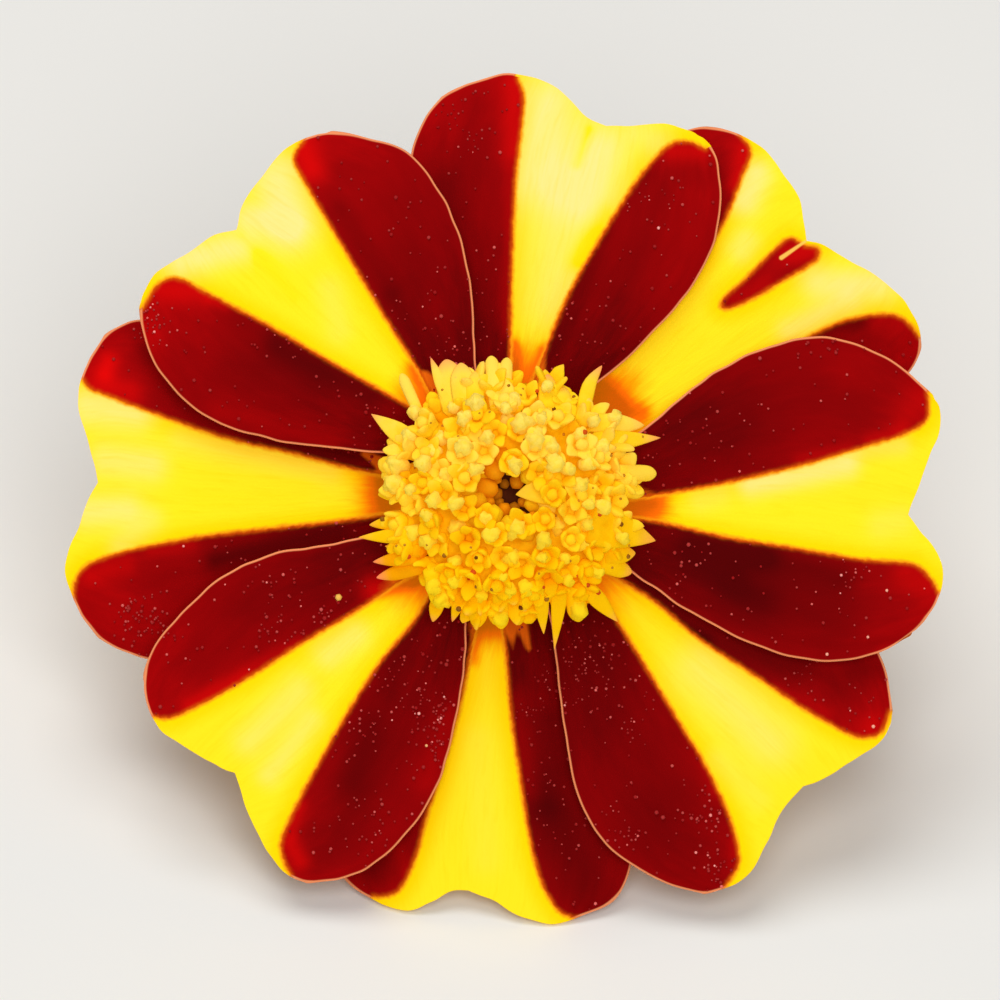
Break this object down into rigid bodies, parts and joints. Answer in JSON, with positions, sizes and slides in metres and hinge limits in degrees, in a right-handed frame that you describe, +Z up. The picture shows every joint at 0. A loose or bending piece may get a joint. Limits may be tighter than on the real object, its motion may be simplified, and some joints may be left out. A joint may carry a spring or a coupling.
{
  "type": "marigold flower",
  "caption": "Single striped French marigold flower, red and yellow petals round a yellow disc, in a green cup on a short cut stem, lying on a surface.",
  "frame": {"origin": "on the surface that the flower lies on, under the middle of its bounding box", "axes": "+Z up from the surface; the flower's face looks along -Y and up at 43 degrees; +X to the right as the face is seen"},
  "size_m": [0.05, 0.0422, 0.036],
  "materials": {
    "stem": "fresh green flower stalk, satin, finely ribbed",
    "involucre": "fresh green bracts, satin, with small dark oil glands",
    "petals": "soft velvety petal, deep crimson with a yellow middle stripe and a thin peach margin",
    "disc_florets": "soft matt yellow",
    "disc_buds": "soft matt orange"
  },
  "bodies": {
    "root": {"stem": "stem", "involucre": "involucre", "ray_petal_1": "petals", "ray_petal_2": "petals", "ray_petal_3": "petals", "ray_petal_4": "petals", "ray_petal_5": "petals", "ray_petal_6": "petals", "ray_petal_7": "petals", "ray_petal_8": "petals", "disc_florets": "disc_florets", "disc_buds": "disc_buds"}
  },
  "joints": []
}
